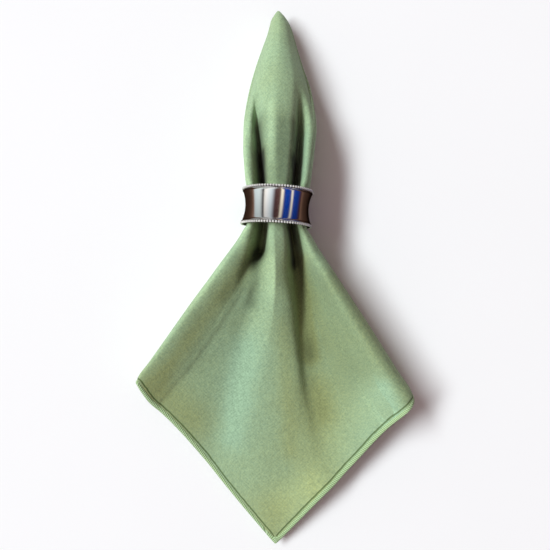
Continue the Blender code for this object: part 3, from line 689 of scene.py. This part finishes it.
def sage_weave():
    """Dyed plain weave: matt, with a fine grain along both threads, slow shifts of tone, patches of painted
    shade and light, a dark stitch line in part painted groove shade, and a faint bloom.
    """
    constants = {
        "Specular IOR Level": 0.25,
        "Sheen Weight": 0.20,
        "Sheen Roughness": 0.45,
        "Sheen Tint": linear("#dcebe0"),
    }
    material, tree, shader = new_material("sage plain weave", constants)
    weave = add_node(tree, "UVMap", {"uv_map": "weave"})
    hem = add_node(tree, "UVMap", {"uv_map": "hem"})
    place = add_node(tree, "TexCoord")
    # Over and under of the two threads
    turns = add_node(tree, "VectorMath", {"operation": "SCALE", "Scale": math.pi / THREAD_DRAWN}, {0: weave})
    split = add_node(tree, "SeparateXYZ", None, {0: turns})
    warp = add_node(tree, "Math", {"operation": "SINE"}, {0: split.outputs["X"]})
    weft = add_node(tree, "Math", {"operation": "SINE"}, {0: split.outputs["Y"]})
    over = add_node(tree, "Math", {"operation": "MULTIPLY"}, {0: warp, 1: weft})
    # Uneven threads: noise drawn out along each thread
    slubs = []
    for stretch in ((1100.0, 260.0, 1.0), (260.0, 1100.0, 1.0)):
        drawn = add_node(tree, "Mapping", {"Scale": stretch}, {"Vector": weave})
        slub = add_node(tree, "TexNoise", {"Scale": 1.0, "Detail": 3.0, "Roughness": 0.6}, {"Vector": drawn})
        slubs.append(slub)
    slub_sum = add_node(tree, "Math", {"operation": "ADD"}, {0: slubs[0], 1: slubs[1]})
    heather = add_node(tree, "TexNoise", {"Scale": 1000.0, "Detail": 1.0, "Roughness": 0.5},
                       {"Vector": place.outputs["Object"]})
    # Patches of olive and mint, in part painted shaded and lit hue, with a little unevenness of the dye
    patches = add_node(tree, "UVMap", {"uv_map": "tone"})
    painted_shade_split = add_node(tree, "SeparateXYZ", None, {0: patches})
    clouds = add_node(tree, "TexNoise", {"Scale": 30.0, "Detail": 2.0, "Roughness": 0.5},
                      {"Vector": place.outputs["Object"]})
    uneven = add_node(tree, "MapRange", {"From Min": 0.3, "From Max": 0.7, "To Min": -0.10, "To Max": 0.10},
                      {"Value": clouds})
    flecks = add_node(tree, "MapRange", {"From Min": 0.3, "From Max": 0.7, "To Min": -0.10, "To Max": 0.10},
                      {"Value": heather})
    flecked = add_node(tree, "Math", {"operation": "ADD"}, {0: uneven, 1: flecks})
    shift = add_node(tree, "Math", {"operation": "ADD", "use_clamp": True},
                     {0: painted_shade_split.outputs["X"], 1: flecked})
    tone = add_node(tree, "Mix", {"data_type": "RGBA", 6: linear(SAGE_MINT), 7: linear(SAGE_OLIVE)},
                    {0: shift})
    # The grain lightens and darkens the cloth by up to a quarter
    grain = add_node(tree, "Math", {"operation": "ADD"}, {0: slub_sum, 1: heather})
    grained = add_node(tree, "MapRange", {"From Min": 1.05, "From Max": 1.95, "To Min": 0.74, "To Max": 1.24},
                       {"Value": grain})
    crossed = add_node(tree, "Math", {"operation": "MULTIPLY_ADD", 1: OVER_LIGHT}, {0: over, 2: grained})
    # The patches' painted shade and light darken or lighten the grained colour
    lightness = add_node(tree, "Math", {"operation": "MULTIPLY"}, {0: crossed, 1: painted_shade_split.outputs["Y"]})
    coloured = add_node(tree, "VectorMath", {"operation": "SCALE"}, {0: tone, "Scale": lightness})
    # The stitch line beside the hem lies in a groove: its dark colour is in part the thread and in part
    # painted shade of the groove
    hem_split = add_node(tree, "SeparateXYZ", None, {0: hem})
    wander = add_node(tree, "TexNoise", {"Scale": 260.0, "Detail": 1.0}, {"Vector": place.outputs["Object"]})
    wandered = add_node(tree, "Math", {"operation": "MULTIPLY_ADD", 1: LINE_WANDER},
                        {0: wander, 2: hem_split.outputs["Y"]})
    off_line = add_node(tree, "Math", {"operation": "SUBTRACT", 1: HEM_INSET + LINE_WANDER / 2},
                        {0: wandered})
    off_size = add_node(tree, "Math", {"operation": "ABSOLUTE"}, {0: off_line})
    line = add_node(tree, "MapRange",
                    {"From Min": 0.0007, "From Max": 0.0002, "interpolation_type": "SMOOTHSTEP"},
                    {"Value": off_size})
    line_share = add_node(tree, "Math", {"operation": "MULTIPLY", 1: LINE_SHARE}, {0: line})
    finished = add_node(tree, "Mix", {"data_type": "RGBA", 7: linear(SAGE_LINE_AND_GROOVE_SHADE)},
                        {0: line_share, 6: coloured})
    join_inputs(tree, shader, {"Base Color": finished})
    # Relief: threads, slubs and the small wrinkles of handled cloth
    relief = add_node(tree, "Math", {"operation": "MULTIPLY_ADD", 1: OVER_RELIEF}, {0: over, 2: grain})
    threads = add_node(tree, "Bump", {"Strength": 0.35, "Distance": 0.00025}, {"Height": relief})
    rumple = add_node(tree, "TexNoise", {"Scale": 85.0, "Detail": 3.0, "Roughness": 0.55, "Distortion": 0.3},
                      {"Vector": place.outputs["Object"]})
    wrinkles = add_node(tree, "Bump", {"Strength": 0.35, "Distance": 0.0012},
                        {"Height": rumple, "Normal": threads})
    groove = add_node(tree, "Math", {"operation": "MULTIPLY", 1: -1.0}, {0: line})
    pulled = add_node(tree, "Bump", {"Strength": 0.8, "Distance": 0.0004},
                      {"Height": groove, "Normal": wrinkles})
    join_inputs(tree, shader, {"Normal": pulled})
    matt = add_node(tree, "MapRange", {"To Min": 0.78, "To Max": 0.95}, {"Value": heather})
    join_inputs(tree, shader, {"Roughness": matt})
    return material


def row_runs():
    """Distances from the tip of all the rows."""
    runs = []
    for start, end, rows in ROW_BANDS:
        runs += [start + (end - start) * i / rows for i in range(rows)]
    return runs + [LENGTH]


def make_napkin():
    """The whole sheet, laid once round the four plies and given the thickness of its cloth."""
    runs = row_runs()
    stations = ply_round([columns for _, _, columns in PLIES])
    points, _ = lay_plies(runs, stations)
    points[..., 2] = np.maximum(points[..., 2], CLOTH_THICKNESS / 2)
    points[:, -1] = points[:, 0]
    flat_x = lengths_along(points * (1, 0, 1), 1)
    flat_x -= flat_x[:, PLIES[0][2] // 2][:, None]
    flat_y = points[..., 1]
    weave = np.stack((flat_x + flat_y, flat_x - flat_y), axis=-1) / math.sqrt(2)
    hem_tangent = unit(np.gradient(points[-1], axis=0))
    to_hem = points[-1] - points
    sideways = (to_hem * hem_tangent).sum(axis=-1, keepdims=True) * hem_tangent
    distance = np.linalg.norm(to_hem - sideways, axis=-1)
    hem_length = np.broadcast_to(lengths_along(points[-1], 0), distance.shape)
    # The tone map carries the patches' painted shade and light and their hue
    maps = {"weave": weave, "hem": np.stack((hem_length, distance), axis=-1), "tone": painted_shade_and_hue(points)}
    grid = moved_grid(points, maps)
    mesh = tidy_mesh(grid, "napkin_cloth", merge=DOUBLES)
    piece = show("napkin_cloth", mesh, sage_weave(), "napkin")
    ply = piece.modifiers.new("ply", "SOLIDIFY")
    ply.thickness = CLOTH_THICKNESS
    ply.offset = 0.0
    return piece


napkin_cloth = make_napkin()


# The merrowed hem: thread worked over the cloth's edge all the way round the napkin, in one narrow raised
# band. It is the cloth's colour, a little lighter and glossier, and its stitches lie close and aslant.

HEM_WIDTH = 0.0033
HEM_OVERHANG = 0.0003
HEM_HALF_THICKNESS = 0.00050
STITCH_PITCH = 0.0012
STITCH_SLANT = 0.0007
STITCH_DEPTH = 0.24
STEPS_A_STITCH = 4
HIDDEN_STEP = 0.0008          # step along the hems of the three lower plies
AROUND = 10
FOOT_REACH = 1.45             # where the band's inner side is taken, in widths from the edge
ROW_STEP = 0.002              # to either side of there, where the way along the cloth is measured
SKEW_STATIONS = 20            # to either side, over which the band's skew is smoothed
BAND_FLATNESS = 0.8           # powers that make the band's round section fuller
BAND_FULLNESS = 0.7
TABLE_GAP = 0.00002           # the hem's thread above the table
HEM_COLUMNS = (2400, 420, 420, 420)


def band_foot(outer, inner, arc, tip):
    """For each station of the hem's edge, the arc length where the band's inner side is across from it."""
    tangent = unit(np.gradient(outer, axis=0))
    skew = ((inner - outer) * tangent).sum(axis=-1)
    smoothed = 2 * SKEW_STATIONS + 1
    window = np.ones(smoothed) / smoothed
    skew = np.convolve(np.pad(skew, SKEW_STATIONS, mode="wrap"), window, mode="valid")
    foot = arc - skew
    return np.where(arc < tip, np.minimum(foot, tip), foot)


def read_along(place, arc, values):
    """Values at places along the hem, read between its stations."""
    return np.stack([np.interp(place, arc, values[:, i]) for i in range(3)], axis=-1)


def make_hem():
    """One closed band round the loose edges of the four plies, raised in stitches on the ply that shows."""
    stations = ply_round(HEM_COLUMNS)
    inner_run = LENGTH - HEM_WIDTH * FOOT_REACH
    points, normals = lay_plies([inner_run - ROW_STEP, inner_run, inner_run + ROW_STEP, LENGTH], stations)
    inner, outer, normal = points[1], points[-1], normals[-1]
    arc = lengths_along(outer, 0)
    upper = HEM_COLUMNS[0]
    tip = arc[upper // 2]
    shown = arc[upper]
    foot = band_foot(outer, inner, arc, tip)
    right = (arc > tip) & (arc < shown)
    foot[right] = np.maximum(foot[right], tip)
    stitched = np.arange(0.0, shown, STITCH_PITCH / STEPS_A_STITCH)
    hidden = np.linspace(shown, arc[-1], int((arc[-1] - shown) / HIDDEN_STEP))
    place = np.concatenate((stitched, hidden))
    edge = read_along(place, arc, outer)
    up = unit(read_along(place, arc, normal))
    stand = np.interp(place - STITCH_SLANT, arc, foot)
    back = read_along(stand, arc, inner)
    width = back - edge
    reach = np.linalg.norm(width, axis=-1, keepdims=True)
    width = width / reach * np.clip(reach, 0.0, HEM_WIDTH)
    middle = edge + width / 2 - unit(width) * HEM_OVERHANG / 2
    half = np.linalg.norm(width, axis=-1) / 2 + HEM_OVERHANG / 2
    section_points = []
    maps = []
    for i in range(AROUND + 1):
        angle = 2 * math.pi * i / AROUND
        flat = math.copysign(abs(math.cos(angle)) ** BAND_FLATNESS, math.cos(angle))
        tall = math.copysign(abs(math.sin(angle)) ** BAND_FULLNESS, math.sin(angle))
        ridge = 1 + STITCH_DEPTH * np.cos(2 * math.pi * place / STITCH_PITCH)
        ridge = np.where(place < shown, ridge, 1.0)
        side = unit(width) * (half * flat)[:, None]
        section_points.append(middle + side + up * (HEM_HALF_THICKNESS * tall * ridge)[:, None])
        maps.append(np.stack((place, np.full(len(place), i / AROUND)), axis=-1))
    band = np.stack(section_points, axis=0)
    band[:, -1] = band[:, 0]
    band[..., 2] = np.maximum(band[..., 2], TABLE_GAP)
    grid = moved_grid(band, {"stitch": np.stack(maps, axis=0)})
    bmesh.ops.remove_doubles(grid, verts=grid.verts, dist=DOUBLES)
    bmesh.ops.recalc_face_normals(grid, faces=grid.faces)
    mesh = tidy_mesh(grid, "napkin_hem")
    return show("napkin_hem", mesh, hem_thread(), "napkin")


THREAD_PALE = "#b4cfa2"
THREAD_SHADE = "#839c67"


def hem_thread():
    """Spun thread in close slanting stitches: a soft gloss along each, and a dark line of painted shade where
    two meet.
    """
    constants = {
        "Sheen Weight": 0.15,
        "Sheen Roughness": 0.4,
    }
    material, tree, shader = new_material("merrowed hem thread", constants)
    stitch = add_node(tree, "UVMap", {"uv_map": "stitch"})
    split = add_node(tree, "SeparateXYZ", None, {0: stitch})
    place = add_node(tree, "TexCoord")
    turns = add_node(tree, "Math", {"operation": "MULTIPLY", 1: 2 * math.pi / STITCH_PITCH},
                     {0: split.outputs["X"]})
    wave = add_node(tree, "Math", {"operation": "COSINE"}, {0: turns})
    uneven = add_node(tree, "TexNoise", {"Scale": 900.0, "Detail": 2.0}, {"Vector": place.outputs["Object"]})
    mixed = add_node(tree, "Math", {"operation": "MULTIPLY_ADD", 1: 0.9}, {0: uneven, 2: wave})
    share = add_node(tree, "MapRange", {"From Min": -0.35, "From Max": 0.85}, {"Value": mixed})
    colour = add_node(tree, "Mix", {"data_type": "RGBA", 6: linear(THREAD_SHADE), 7: linear(THREAD_PALE)},
                      {0: share})
    join_inputs(tree, shader, {"Base Color": colour})
    fibres = add_node(tree, "Bump", {"Strength": 0.4, "Distance": 0.0002}, {"Height": mixed})
    join_inputs(tree, shader, {"Normal": fibres})
    gloss = add_node(tree, "MapRange", {"To Min": 0.45, "To Max": 0.65}, {"Value": uneven})
    join_inputs(tree, shader, {"Roughness": gloss})
    return material


napkin_hem = make_hem()


# The napkin ring: a band of silver-plated metal spun to a spool's waist, with a rolled line and a row of
# small beads round each rim. It is slid over the cloth, which holds it, and it stands on both its rims.

WAIST_POINTS = 24
BEADS = 80
BEAD_AROUND = 10
BEAD_RINGS = 6
RING_STEPS = 180
LINE_RADIUS = 0.00042
LINE_STEPS = 8
SEAT_DEPTH = 0.0003           # the band's edge in from the middle of the beads
BORE_FACING = -0.3            # faces that look further in than this belong to the bore

# Corners of the rim behind the beads: each in from the band's edge, and down from the ring's end
RIM_CORNERS = (
    (0.0001, 2 * BEAD_RADIUS),
    (0.0001, 0.0005),
    (0.0003, 0.0002),
    (0.0006, 0.0001),
    (RING_WALL, 0.0003),
)


def ring_place(shape):
    """Lays a ring's part, modelled upright about Z, down on its rims and moves it to its place."""
    laid = Matrix.Rotation(RING_TURN, 3, "Z") @ Matrix.Rotation(math.radians(-90.0), 3, "X")
    bmesh.ops.rotate(shape, verts=shape.verts, cent=(0, 0, 0), matrix=laid)
    bmesh.ops.translate(shape, verts=shape.verts, vec=(RING_X, RING_Y, RING_RIM_RADIUS))


def ring_profile():
    """Section of the band: waist, rolled line and the beads' seat outside, and the plain bore inside."""
    half = RING_LENGTH / 2
    seat_z = half - 2 * BEAD_RADIUS
    line_z = seat_z - LINE_RADIUS
    cove_z = line_z - LINE_RADIUS
    flare = RING_RIM_RADIUS - BEAD_RADIUS - SEAT_DEPTH - RING_WAIST_RADIUS
    outer = []
    inner = []
    for i in range(WAIST_POINTS + 1):
        z = cove_z * (2 * i / WAIST_POINTS - 1)
        swell = flare * (z / cove_z) ** 2
        outer.append((RING_WAIST_RADIUS + swell, z))
        inner.append((RING_WAIST_RADIUS - RING_WALL + swell, z))
    rim = RING_WAIST_RADIUS + flare
    upper = []
    for i in range(1, LINE_STEPS):
        angle = math.pi * i / LINE_STEPS
        upper.append((rim + LINE_RADIUS * math.sin(angle), line_z - LINE_RADIUS * math.cos(angle)))
    upper += [(rim - inward, half - down) for inward, down in RIM_CORNERS]
    lower = [(r, -z) for r, z in upper[::-1]]
    return lower + outer + upper + inner[::-1]


def make_ring_band():
    wall = bmesh.new()
    profile = [wall.verts.new((r, 0.0, z)) for r, z in ring_profile()]
    edges = [wall.edges.new((profile[i - 1], profile[i])) for i in range(len(profile))]
    bmesh.ops.spin(wall, geom=profile + edges, cent=(0, 0, 0), axis=(0, 0, 1), angle=2 * math.pi,
                   steps=RING_STEPS, use_merge=True, use_duplicate=False)
    bmesh.ops.remove_doubles(wall, verts=wall.verts, dist=DOUBLES)
    bmesh.ops.recalc_face_normals(wall, faces=wall.faces)
    ring_place(wall)
    mesh = tidy_mesh(wall, "ring_band")
    piece = show("ring_band", mesh, polished_silver(), "ring")
    mesh.materials.append(plain_silver("dull silver bore", "#4a4440", 0.55, 1.0))
    axis = Vector((-math.sin(RING_TURN), math.cos(RING_TURN), 0.0))
    for face in mesh.polygons:
        outward = face.center - Vector((RING_X, RING_Y, RING_RIM_RADIUS))
        outward -= outward.project(axis)
        face.material_index = int(face.normal.dot(outward.normalized()) < BORE_FACING)
    return piece


def make_ring_beads():
    beads = bmesh.new()
    radius = RING_RIM_RADIUS - BEAD_RADIUS
    for end in (-1, 1):
        for i in range(BEADS):
            angle = 2 * math.pi * (i + 0.25 * (end + 1)) / BEADS
            spot = (radius * math.cos(angle), radius * math.sin(angle), end * (RING_LENGTH / 2 - BEAD_RADIUS))
            place = Matrix.Translation(spot) @ Matrix.Rotation(angle, 4, "Z")
            bmesh.ops.create_uvsphere(beads, u_segments=BEAD_AROUND, v_segments=BEAD_RINGS,
                                      radius=BEAD_RADIUS, matrix=place)
    ring_place(beads)
    finish = plain_silver("bright silver beads", "#fffdf8", 0.34, 0.45)
    return show("ring_beads", tidy_mesh(beads, "ring_beads"), finish, "ring")


def plain_silver(name, colour, roughness, metallic):
    """Silver without a mirror polish: soft highlights, and faint smears of tarnish over its colour."""
    material, tree, shader = new_material(name, {"Metallic": metallic, "Roughness": roughness})
    place = add_node(tree, "TexCoord")
    smears = add_node(tree, "TexNoise", {"Scale": 400.0, "Detail": 2.0}, {"Vector": place.outputs["Object"]})
    tarnish = add_node(tree, "Math", {"operation": "MULTIPLY", 1: 0.3}, {0: smears})
    tone = add_node(tree, "Mix", {"data_type": "RGBA", 6: linear(colour), 7: linear("#7d746b")}, {0: tarnish})
    join_inputs(tree, shader, {"Base Color": tone})
    return material


def polished_silver():
    """Polished silver plate: a sharp mirror with hairlines round it, and grey tarnish in the corners."""
    material, tree, shader = new_material("polished silver plate", {"Metallic": 1.0})
    place = add_node(tree, "TexCoord")
    ring = add_node(tree, "Mapping", {"Location": (-RING_X, -RING_Y, -RING_RIM_RADIUS)},
                    {"Vector": place.outputs["Object"]})
    ring = add_node(tree, "Mapping", {"Rotation": (0.0, 0.0, -RING_TURN)}, {"Vector": ring})
    split = add_node(tree, "SeparateXYZ", None, {0: ring})
    hairs = add_node(tree, "Mapping", {"Scale": (40.0, 5200.0, 40.0)}, {"Vector": ring})
    lines = add_node(tree, "TexNoise", {"Scale": 1.0, "Detail": 2.0}, {"Vector": hairs})
    smears = add_node(tree, "TexNoise", {"Scale": 130.0, "Detail": 3.0, "Roughness": 0.6}, {"Vector": ring})
    away = add_node(tree, "Math", {"operation": "ABSOLUTE"}, {0: split.outputs["Y"]})
    rim = add_node(tree, "MapRange", {"From Min": 0.0080, "From Max": 0.0098}, {"Value": away})
    worn = add_node(tree, "Math", {"operation": "MULTIPLY"}, {0: rim, 1: smears})
    colour = add_node(tree, "Mix", {"data_type": "RGBA", 6: linear("#e9e6e2"), 7: linear("#a89e93")},
                      {0: worn})
    # Between the beads the plate is black with tarnish
    seat = add_node(tree, "MapRange", {"From Min": 0.0096, "From Max": 0.0099}, {"Value": away})
    seated = add_node(tree, "Mix", {"data_type": "RGBA", 7: linear("#2e2824")}, {0: seat, 6: colour})
    join_inputs(tree, shader, {"Base Color": seated})
    rough = add_node(tree, "Math", {"operation": "MULTIPLY_ADD", 1: 0.08, 2: 0.09}, {0: smears})
    rougher = add_node(tree, "Math", {"operation": "MULTIPLY_ADD", 1: 0.15}, {0: worn, 2: rough})
    join_inputs(tree, shader, {"Roughness": rougher})
    relief = add_node(tree, "Bump", {"Strength": 0.05, "Distance": 0.0001}, {"Height": lines})
    join_inputs(tree, shader, {"Normal": relief})
    return material


make_ring_band()
make_ring_beads()


# The studio: a plain pale table top, a large soft lamp at the upper left, and pale walls. A polished ring
# shows what stands round it, so mirror rays see a room's bright and dark bands and a table painted brown for
# them alone, no lamp.

KEY_PLACE = (-8.05, 2.65, 8.50)
KEY_LENGTH = 10.0
KEY_WIDTH = 2.5
KEY_POWER = 1840.0
KEY_COLOUR = (0.90, 0.985, 1.0)
WALL_COLOUR = "#f6d8d8"
WALLS_LEFT = 0.54
WALLS_RIGHT = 0.12
ROOM_HALF = 100               # degrees to either side that the bands cover
CAMERA_PLACE = (0.0006, 0.0018, 0.335)
CAMERA_LENS = 33.2

# Directions round the table's long axis, in degrees from straight up to the right, and their colours
ROOM_BANDS = (
    (-100, "#7a5b4d"),
    (-91, "#a59a96"),
    (-84, "#cfdfe4"),
    (-66, "#d6e4e8"),
    (-58, "#b4bcc0"),
    (-54, "#3c393c"),
    (-50, "#3c393c"),
    (-46, "#f6f3ee"),
    (-38, "#f6f8fa"),
    (-22, "#cfdde6"),
    (-16, "#a9adb6"),
    (-9, "#4a3233"),
    (9, "#5a3f3d"),
    (13, "#f7eedb"),
    (19, "#f7eedb"),
    (23, "#10307c"),
    (32, "#0a3fa5"),
    (47, "#0d3184"),
    (51, "#efe6d2"),
    (54, "#efe6d2"),
    (58, "#123a93"),
    (77, "#12307c"),
    (86, "#39262b"),
    (100, "#4a2f26"),
)


def make_floor():
    floor = bmesh.new()
    bmesh.ops.create_circle(floor, cap_ends=True, segments=96, radius=4.0)
    mesh = tidy_mesh(floor, "table_top")
    constants = {
        "Roughness": 0.9,
        "Specular IOR Level": 0.1,
    }
    material, tree, shader = new_material("pale matt table top", constants)
    place = add_node(tree, "TexCoord")
    cloud = add_node(tree, "TexNoise", {"Scale": 6.0, "Detail": 2.0}, {"Vector": place.outputs["Object"]})
    paths = add_node(tree, "LightPath")
    pale = add_node(tree, "Mix", {"data_type": "RGBA", 6: linear("#f5f5f6"), 7: linear("#f8f8f9")},
                    {0: cloud})
    # Mirror rays alone see the table painted brown and darker nearer the middle: a painted reflection, with
    # painted shade near the napkin
    away = add_node(tree, "VectorMath", {"operation": "LENGTH"}, {0: place.outputs["Object"]})
    far = add_node(tree, "MapRange", {"From Min": 0.04, "From Max": 0.40}, {"Value": away})
    mirrored = add_node(tree, "Mix", {"data_type": "RGBA", 6: linear("#24160f"), 7: linear("#6d5040")},
                        {0: far})
    seen = add_node(tree, "Mix", {"data_type": "RGBA"},
                    {0: paths.outputs["Is Glossy Ray"], 6: pale, 7: mirrored})
    join_inputs(tree, shader, {"Base Color": seen})
    mesh.materials.append(material)
    table = bpy.data.objects.new("table_top", mesh)
    bpy.context.scene.collection.objects.link(table)


def make_room():
    world = bpy.data.worlds.new("soft room")
    bpy.context.scene.world = world
    world.use_nodes = True
    tree = world.node_tree
    paths = add_node(tree, "LightPath")
    seen = add_node(tree, "Background", {"Color": linear("#f6f6f8"), "Strength": 1.0})
    place = add_node(tree, "TexCoord")
    split = add_node(tree, "SeparateXYZ", None, {0: place.outputs["Generated"]})
    # The walls' own light is warm, and stronger from the lamp's side
    fade = add_node(tree, "MapRange",
                    {"From Min": -1.0, "From Max": 1.0, "To Min": WALLS_LEFT, "To Max": WALLS_RIGHT},
                    {"Value": split.outputs["X"]})
    plain = add_node(tree, "Background", {"Color": linear(WALL_COLOUR)}, {"Strength": fade})
    angle = add_node(tree, "Math", {"operation": "ARCTAN2"}, {0: split.outputs["X"], 1: split.outputs["Z"]})
    spot = add_node(tree, "MapRange",
                    {"From Min": math.radians(-ROOM_HALF), "From Max": math.radians(ROOM_HALF)},
                    {"Value": angle})
    bands = add_node(tree, "ValToRGB", None, {"Fac": spot})
    stops = bands.color_ramp.elements
    while len(stops) > 1:
        stops.remove(stops[-1])
    for i, (degrees, colour) in enumerate(ROOM_BANDS):
        place = (degrees + ROOM_HALF) / (2 * ROOM_HALF)
        stop = stops[0] if i == 0 else stops.new(place)
        stop.position = place
        stop.color = linear(colour)
    lean = add_node(tree, "MapRange", {"From Min": -0.6, "From Max": 0.6, "To Min": 1.35, "To Max": 0.75},
                    {"Value": split.outputs["Y"]})
    mirrored = add_node(tree, "Background", None, {"Color": bands, "Strength": lean})
    first = add_node(tree, "MixShader", None, {0: paths.outputs["Is Glossy Ray"], 1: plain, 2: mirrored})
    last = add_node(tree, "MixShader", None, {0: paths.outputs["Is Camera Ray"], 1: first, 2: seen})
    join_inputs(tree, tree.nodes["World Output"], {"Surface": last})


def make_lamp():
    lamp = bpy.data.lights.new("soft key", "AREA")
    lamp.shape = "RECTANGLE"
    lamp.size = KEY_LENGTH
    lamp.size_y = KEY_WIDTH
    lamp.energy = KEY_POWER
    lamp.color = KEY_COLOUR
    key = bpy.data.objects.new("soft key", lamp)
    key.location = KEY_PLACE
    key.rotation_euler = (-Vector(KEY_PLACE)).to_track_quat("-Z", "Y").to_euler()
    key.visible_camera = False
    key.visible_glossy = False
    bpy.context.scene.collection.objects.link(key)


make_floor()
make_room()
make_lamp()
view = bpy.data.cameras.new("camera")
view.lens = CAMERA_LENS
view.sensor_width = 36.0
view.clip_start = 0.01
camera = bpy.data.objects.new("camera", view)
camera.location = CAMERA_PLACE
bpy.context.scene.collection.objects.link(camera)
bpy.context.scene.camera = camera
bpy.context.scene.view_settings.view_transform = "Standard"
